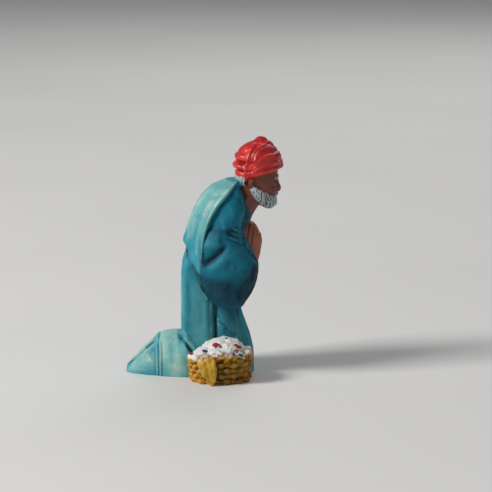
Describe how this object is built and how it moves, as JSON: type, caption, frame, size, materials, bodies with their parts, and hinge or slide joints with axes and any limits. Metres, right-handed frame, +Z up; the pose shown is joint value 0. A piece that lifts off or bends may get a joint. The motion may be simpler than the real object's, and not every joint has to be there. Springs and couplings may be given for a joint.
{
  "type": "nativity shepherd figurine",
  "caption": "Kneeling shepherd in cape and turban, hands joined in prayer, a heaped wicker basket at the right knee. Stands on its flat underside in a nativity scene.",
  "frame": {"origin": "on the flat underside, below the middle of the robe, in the figure's plane of symmetry without the basket", "axes": "+Z up, the figure faces +X, its left side is +Y and the basket lies at its right side, -Y"},
  "size_m": [0.0188, 0.0155, 0.0284],
  "materials": {
    "robe_paint": "satin brushed paint, worn on the raised edges",
    "turban_paint": "satin brushed paint",
    "skin_paint": "satin brushed paint",
    "beard_paint": "dry-brushed paint",
    "basket_paint": "satin brushed paint with dark wash in the weave",
    "filling_paint": "satin brushed paint with red and blue dots"
  },
  "bodies": {
    "root": {"shepherd_figurine": "robe_paint"}
  },
  "joints": []
}
